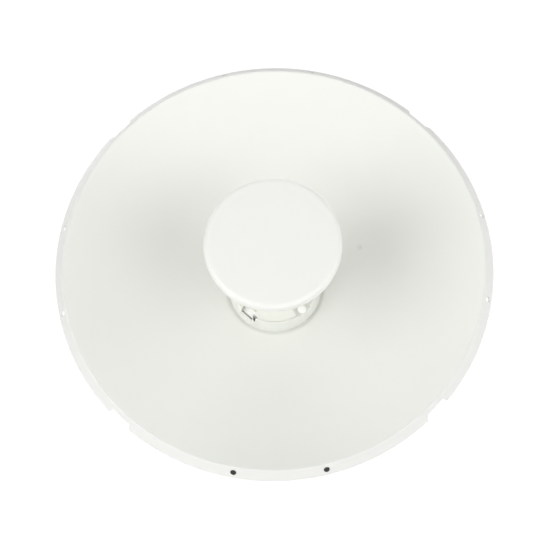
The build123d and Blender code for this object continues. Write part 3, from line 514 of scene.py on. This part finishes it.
def reflector():
    front, back = reflector_side(0.0), reflector_side(SHEET)
    land_y = LAND_REAR_Y - SHEET
    ease = 0.25 * MM
    outline = [(HUB_HOLE_R, land_y), (LAND_R - ease, land_y), (LAND_R, land_y - 0.1 * MM)]
    outline += front + list(reversed(back))
    outline += [(LAND_R + LAND_STEP / 2, LAND_REAR_Y), (HUB_HOLE_R, LAND_REAR_Y)]
    mesh = turned("reflector_sheet", outline, ROUND)
    past = 4 * MM                       # how far a cutter runs past the sheet
    cutters = []
    # the rim's holes above, left and right, in pairs parallel to the radius between them
    hole_y = skirt_y(front, RIM_HOLE_AT)
    beside = RIM_HOLE_AT * math.sin(RIM_HOLE_ANGLE)
    out = RIM_HOLE_AT * math.cos(RIM_HOLE_ANGLE)
    for turn in (0, 90, 180):
        place = radial_place(turn, hole_y)
        for side in (beside, -beside):
            start, end = Vector((out - past, side, 0)), Vector((out + 1.5 * past, side, 0))
            cutters.append(rod(RIM_HOLE_R, place @ start, place @ end))
    # the two below are square to the skirt
    for place in plug_places():
        cutters.append(rod(RIM_HOLE_R, place @ Vector((0, -past, 0)), place @ Vector((0, past, 0))))
    # the drain notches in the skirt's rear edge
    wide, narrow, depth = 14.25 * MM, 10.25 * MM, 4.9 * MM
    corners = ((-wide, -1 * MM), (wide, -1 * MM), (narrow, depth), (-narrow, depth))
    for turn in range(45, 360, 90):
        a = math.radians(turn)
        outwards = Vector((math.cos(a), 0, math.sin(a)))
        forwards = Vector((0, -1, 0))
        edge = Matrix((forwards.cross(outwards), forwards, outwards)).transposed().to_4x4()
        place = Matrix.Translation((0, front[-1][1], 0)) @ edge
        cutters.append(prism(corners, place, RIM_R - 2 * past, RIM_R + past))
    # the hub's screw holes, peg holes and latch windows
    behind, ahead = -2 * MM, 3 * MM
    for angles, at, radius in ((HUB_SCREWS, HUB_SCREW_AT, HUB_SCREW_R), (PEGS, PEG_AT, PEG_HOLE_R)):
        for angle in angles:
            place = radial_place(angle, LAND_REAR_Y)
            cutters.append(rod(radius, place @ Vector((at, 0, behind)), place @ Vector((at, 0, ahead)), 32))
    for angle in LATCHES:
        cutters.append(prism(rounded_box(*LATCH_WINDOW), radial_place(angle, LAND_REAR_Y), behind, ahead))
    stand_for("reflector_sheet", cut(mesh, cutters), "reflector", 28.0)


def plug_places():
    """Frames on the skirt's outside at the two holes below, with Y pointing away from the sheet."""
    hole_y = skirt_y(reflector_side(0.0), RIM_HOLE_AT)
    places = []
    for turn in (-math.pi / 2 - RIM_HOLE_ANGLE, -math.pi / 2 + RIM_HOLE_ANGLE):
        radius = Vector((math.cos(turn), 0, math.sin(turn)))
        outwards = radius * math.cos(SKIRT) + Vector((0, -math.sin(SKIRT), 0))
        along = Vector((-math.sin(turn), 0, math.cos(turn)))
        turned_to = Matrix((along, outwards, along.cross(outwards))).transposed().to_4x4()
        places.append(Matrix.Translation(radius * RIM_HOLE_AT + Vector((0, hole_y, 0))) @ turned_to)
    return places


def rim_plugs():
    """Dark rubber bungs that put painted shade in the two lower holes: a low domed head outside, a neck
    through the sheet and a barb behind it.
    """
    rim, neck, barb = 2.75 * MM, 2.45 * MM, 2.8 * MM
    outline = [(0.4 * MM, 0.9 * MM), (1.6 * MM, 0.84 * MM), (2.3 * MM, 0.68 * MM), (2.62 * MM, 0.4 * MM),
               (rim, 0.12 * MM), (rim - 0.1 * MM, 0.0), (neck, 0.0), (neck, -1.1 * MM), (barb, -1.15 * MM),
               (barb, -1.5 * MM), (2.1 * MM, -2.3 * MM), (0.4 * MM, -2.3 * MM)]
    # painted shade: dark plugs fill the two lower rim holes
    plugs = [turned("plug", outline, 40, closed=False, place=place) for place in plug_places()]
    stand_for("rim_shade_plug_pair", joined("rim_shade_plug_pair", plugs), "rim_plugs")


reflector()
rim_plugs()


# ---- cap, its back and the feed tube, turned finely ----------------------------------------------
def cap():
    low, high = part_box("cap_shell")
    edge, front, rear = high.x, low.y, high.y
    wall, big, small, middle = 2.0 * MM, 4.8 * MM, 0.8 * MM, 0.5 * MM
    outline = [(middle, front), (20 * MM, front), (40 * MM, front), (edge - big - 3 * MM, front)]
    outline += arc((edge - big, front + big), big, 0, 90, 16)
    outline += arc((edge - small, rear - small), small, 90, 180, 5)
    outline += [(edge - wall, rear)]
    inner = big - wall
    outline += arc((edge - big, front + big), inner, 90, 0, 8)
    outline += [(30 * MM, front + wall), (middle, front + wall)]
    stand_for("cap_dome", turned("cap_dome", outline, SMALL_ROUND, closed=False), "cap_shell")


def feed_tube():
    low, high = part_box("feed_tube")
    collar_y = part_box("feed_collar")[0].y
    cap_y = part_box("cap_shell")[1].y
    foot, wide, narrow, wall = high.x, 27.0 * MM, 22.5 * MM, 1.8 * MM
    foot_y = high.y - 2 * MM
    outline = [(wide - wall, high.y), (foot, high.y), (foot, foot_y), (wide, foot_y), (wide, collar_y)]
    for share in (0.25, 0.5, 0.75, 1.0):
        outline.append((wide + (narrow - wide) * share, collar_y + (cap_y - collar_y) * share))
    outline += [(narrow, low.y), (narrow - wall, low.y), (narrow - wall, cap_y), (wide - wall, collar_y)]
    stand_for("feed_stem", turned("feed_stem", outline, SMALL_ROUND), "feed_tube")


cap()
feed_tube()


# ---- fasteners: chamfered hexagons, rolled threads and eased washers -----------------------------
THREAD_EASE = 0.02 * MM                 # a nut's bore round its bolt


def along_y(x, z):
    """A frame at X, Z whose Y runs rearwards."""
    return Matrix.Translation((x, 0, z))


def along_x(side, y, z):
    """A frame at Y, Z whose Y runs outwards along X, to the right for side 1 and to the left for -1."""
    turn = Matrix(((0, side, 0, 0), (-side, 0, 0, 0), (0, 0, 1, 0), (0, 0, 0, 1)))
    return Matrix.Translation((0, y, z)) @ turn


def hexagon(flats, low, high, place, bore=0.0, around=72):
    """A hexagon head, or a nut when there is a bore, chamfered at both ends like a machined one."""
    half = flats / 2
    land = 0.96 * half
    slope = math.tan(math.radians(30))
    reach = [half / math.cos(math.radians((360.0 * i / around) % 60 - 30)) for i in range(around)]
    rings = [circle(land, low, around), ring_round_y(reach, [low + (r - land) * slope for r in reach]),
             ring_round_y(reach, [high - (r - land) * slope for r in reach]), circle(land, high, around)]
    if bore:
        ease = 0.08 * flats / 2
        for radius, y in ((bore + ease, high), (bore, high - ease), (bore, low + ease), (bore + ease, low)):
            rings.append(circle(radius, y, around))
    return mesh_from("hexagon", rings, closed=bool(bore), place=place)


def threaded(radius, pitch, low, high, start, stop, place, around=36, per_turn=8):
    """A shank from low to high with a thread cut between start and stop and a chamfered high end."""
    depth = 0.6 * pitch
    count = round((stop - start) / pitch * per_turn)
    ease = 0.12 * radius
    rings = [circle(radius, low, around), circle(radius, start - pitch / 4, around)]
    for step in range(count + 1):
        y = start + (stop - start) * step / count
        fade = min(1.0, step / per_turn)
        radii = []
        for i in range(around):
            phase = (step / per_turn - i / around) % 1.0
            groove = max(0.0, 1.0 - abs(phase - 0.5) * 3.0)
            radii.append(radius - depth * groove * fade)
        rings.append(ring_round_y(radii, [y] * around))
    rings.append(circle(radius - depth, stop + pitch / 4, around))
    rings.append(circle(radius - depth - ease, high, around))
    return mesh_from("threaded", rings, place=place)


def washer(radius, bore, low, high, place):
    ease = 0.2 * MM
    outline = [(bore, low + ease), (bore + ease, low), (radius - ease, low), (radius, low + ease),
               (radius, high - ease), (radius - ease, high), (bore + ease, high), (bore, high - ease)]
    return turned("washer", outline, 64, place=place)


def clamp_hardware():
    """The long coach bolts through both halves of the clamp, with their washers and nuts."""
    bolt_low, bolt_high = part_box("clamp_bolts")
    washer_low, washer_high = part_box("clamp_washers")
    nut_low, nut_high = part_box("clamp_nuts")
    apart, shank, pitch, neck_length = 38 * MM, 4 * MM, 1.25 * MM, 3.5 * MM
    head_r, head_edge, dome_rise, flat = 8.5 * MM, 0.4 * MM, 4.0 * MM, 0.4 * MM
    washer_r, washer_bore, flats = 8 * MM, 4.5 * MM, 13 * MM
    seat = bolt_low.y + dome_rise + head_edge
    neck_end = seat + neck_length
    thread_start, thread_end = -12 * MM, bolt_high.y - 0.8 * MM
    dome = [(flat, bolt_low.y)]
    for i in range(1, 13):
        a = math.radians(90 * i / 12)
        dome.append((head_r * math.sin(a), seat - head_edge - dome_rise * math.cos(a)))
    dome += [(head_r, seat), (flat, seat)]
    neck = [(-shank, -shank), (shank, -shank), (shank, shank), (-shank, shank)]
    square = [[(a, y, b) for a, b in neck] for y in (seat, neck_end)]
    bolts, washers, nuts = [], [], []
    for x in (apart, -apart):
        place = along_y(x, 0)
        bolts.append(turned("dome", dome, 64, closed=False, place=place))
        bolts.append(mesh_from("neck", square, place=place))
        bolts.append(threaded(shank, pitch, neck_end, bolt_high.y, thread_start, thread_end, place))
        washers.append(washer(washer_r, washer_bore, washer_low.y, washer_high.y, place))
        nuts.append(hexagon(flats, nut_low.y, nut_high.y, place, shank + THREAD_EASE))
    stand_for("coach_bolts", joined("coach_bolts", bolts), "clamp_bolts")
    stand_for("coach_washers", joined("coach_washers", washers), "clamp_washers")
    stand_for("coach_nuts", joined("coach_nuts", nuts), "clamp_nuts")


def tilt_hardware():
    """Pivot and lock bolts on both ears, with washers outside and nuts inside."""
    shank, pitch, flats, head_height = 3 * MM, 1.0 * MM, 10 * MM, 4.0 * MM
    nut_high, nut_height, past_nut = 47.4 * MM, 5 * MM, 1.5 * MM
    washer_r, washer_height = 6.2 * MM, 1.2 * MM
    bore = shank + THREAD_EASE
    nut_low = nut_high - nut_height
    tip = nut_low - past_nut
    washers, nuts = [], []
    for name, node in (("pivot_pair", "pivot_bolts"), ("lock_pair", "lock_bolts")):
        low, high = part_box(node)
        y, z = (low.y + high.y) / 2, (low.z + high.z) / 2
        head = high.x - head_height
        bolts = []
        for side in (1, -1):
            place = along_x(side, y, z)
            inwards = place @ Matrix.Diagonal((1, -1, 1, 1))
            bolts.append(threaded(shank, pitch, -head, -tip, shank - head, -tip - 0.5 * MM, inwards))
            bolts.append(hexagon(flats, head, high.x, place))
            washers.append(washer(washer_r, bore, head - washer_height, head, place))
            nuts.append(hexagon(flats, nut_low, nut_high, place, bore))
        stand_for(name, joined(name, bolts), node)
    stand_for("tilt_washer_set", joined("tilt_washer_set", washers), "tilt_washers")
    stand_for("tilt_nut_set", joined("tilt_nut_set", nuts), "tilt_nuts")


def hub_nuts():
    low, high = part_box("bracket_nuts")
    flats, shank = 7 * MM, 2 * MM
    nuts = []
    for angle in HUB_SCREWS:
        a = math.radians(angle)
        place = along_y(HUB_SCREW_AT * math.cos(a), HUB_SCREW_AT * math.sin(a))
        nuts.append(hexagon(flats, low.y, high.y, place, shank + THREAD_EASE))
    stand_for("hub_nut_set", joined("hub_nut_set", nuts), "bracket_nuts")


def jack_contacts():
    """The socket's eight sprung contacts, along the wall opposite the plug's tab."""
    low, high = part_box("ethernet_jack")
    middle, wall, mouth = (low.x + high.x) / 2, (low.y + high.y) / 2 - 3.98 * MM, low.z
    pitch, half, thick = 1.02 * MM, 0.2 * MM, 0.25 * MM
    path = [(wall, mouth + 13.0 * MM), (wall, mouth + 2.6 * MM), (wall + 0.7 * MM, mouth + 2.2 * MM),
            (wall + 2.6 * MM, mouth + 9.5 * MM)]
    outline = path + [(y + thick, z) for y, z in reversed(path)]
    wires = []
    for i in range(8):
        x = middle + (i - 3.5) * pitch
        wires.append(mesh_from("wire", [[(x + side, y, z) for y, z in outline] for side in (-half, half)]))
    obj = piece("jack_contacts", joined("jack_contacts", wires), "ethernet_jack")
    obj.data.materials[0] = finishes["radiator_brass"]


clamp_hardware()
tilt_hardware()
hub_nuts()
jack_contacts()


# ---- stage: floor, camera and light --------------------------------------------------------------
def floor():
    """A pale floor, whiter in the distance. Its glow is seen by the camera only, so it lights nothing."""
    graph = Graph("floor_pale")
    colour = varied(graph, (0.86, 0.86, 0.85), 2.0, 0.01)
    seen = graph.add("ShaderNodeLightPath").outputs["Is Camera Ray"]
    away = graph.add("ShaderNodeVectorMath", {0: graph.where}, operation="LENGTH").outputs["Value"]
    glow = graph.math("MULTIPLY", seen, graph.span(away, FLOOR_NEAR, FLOOR_FAR, NEAR_GLOW, FAR_GLOW))
    material = graph.surface(Base_Color=colour, Roughness=0.7, Emission_Color=(1.0, 1.0, 1.0, 1.0),
                             Emission_Strength=glow)
    bpy.ops.mesh.primitive_plane_add(size=FLOOR_SIZE, location=(0, 0, FLOOR_Z))
    obj = bpy.context.object
    obj.name = "floor"
    obj.data.materials.append(material)


def direction(around, height):
    """The way out from the dish to an azimuth, where 0 is in front, and an elevation."""
    level = math.cos(height)
    return Vector((math.sin(around) * level, -math.cos(around) * level, math.sin(height)))


def camera():
    """Below and in front, looking up at the dish, slightly rolled."""
    back = direction(CAMERA_AROUND, CAMERA_HEIGHT)
    right = (-back).cross(Vector((0, 0, 1))).normalized()
    up = right.cross(-back)
    x_axis = math.cos(CAMERA_ROLL) * right + math.sin(CAMERA_ROLL) * up
    y_axis = -math.sin(CAMERA_ROLL) * right + math.cos(CAMERA_ROLL) * up
    turn = Matrix((x_axis, y_axis, back)).transposed().to_4x4()
    data = bpy.data.cameras.new("camera")
    data.lens = LENS
    data.sensor_width = SENSOR
    obj = bpy.data.objects.new("camera", data)
    obj.matrix_world = Matrix.Translation(CAMERA_AIM + back * CAMERA_DISTANCE) @ turn
    bpy.context.scene.collection.objects.link(obj)
    bpy.context.scene.camera = obj


def soft_box(name, around, height, size, power):
    """A square white light aimed at the middle of the dish's rim, unseen by the camera."""
    away = direction(math.radians(around), math.radians(height))
    data = bpy.data.lights.new(name, "AREA")
    data.shape = "SQUARE"
    data.size = size
    data.energy = power
    obj = bpy.data.objects.new(name, data)
    obj.location = Vector((0, RIM_Y, 0)) + away * LIGHT_DISTANCE
    obj.rotation_euler = (-away).to_track_quat("-Z", "Y").to_euler()
    obj.visible_camera = False
    bpy.context.scene.collection.objects.link(obj)


def world(front, behind, backdrop):
    """White light, stronger from in front than from behind; the camera sees a backdrop of its own."""
    scene_world = bpy.data.worlds.new("studio")
    scene_world.use_nodes = True
    tree = scene_world.node_tree
    tree.nodes.clear()

    def ranged(value, low, high, out_low, out_high):
        node = tree.nodes.new("ShaderNodeMapRange")
        tree.links.new(value, node.inputs["Value"])
        limits = {"From Min": low, "From Max": high, "To Min": out_low, "To Max": out_high}
        for key, number in limits.items():
            node.inputs[key].default_value = number
        return node

    way = tree.nodes.new("ShaderNodeSeparateXYZ")
    tree.links.new(tree.nodes.new("ShaderNodeTexCoord").outputs["Generated"], way.inputs["Vector"])
    ambient = ranged(way.outputs["Y"], -0.06, 0.06, front, behind)
    seen = tree.nodes.new("ShaderNodeLightPath").outputs["Is Camera Ray"]
    level = ranged(seen, 0.0, 1.0, 0.0, backdrop)
    tree.links.new(ambient.outputs["Result"], level.inputs["To Min"])
    light = tree.nodes.new("ShaderNodeBackground")
    light.inputs["Color"].default_value = (1.0, 1.0, 1.0, 1.0)
    out = tree.nodes.new("ShaderNodeOutputWorld")
    tree.links.new(level.outputs["Result"], light.inputs["Strength"])
    tree.links.new(light.outputs["Background"], out.inputs["Surface"])
    bpy.context.scene.world = scene_world


floor()
camera()
for light in LIGHTS:
    soft_box(*light)
world(WORLD_FRONT, WORLD_BEHIND, BACKDROP)
bpy.context.scene.view_settings.view_transform = "Standard"

# ---- every CAD node that is still shown gets its slot's finish -----------------------------------
for name, obj in frame["nodes"].items():
    obj.data.materials.clear()
    obj.data.materials.append(collar_finish if name == "feed_collar" else finishes[slot_of[name]])
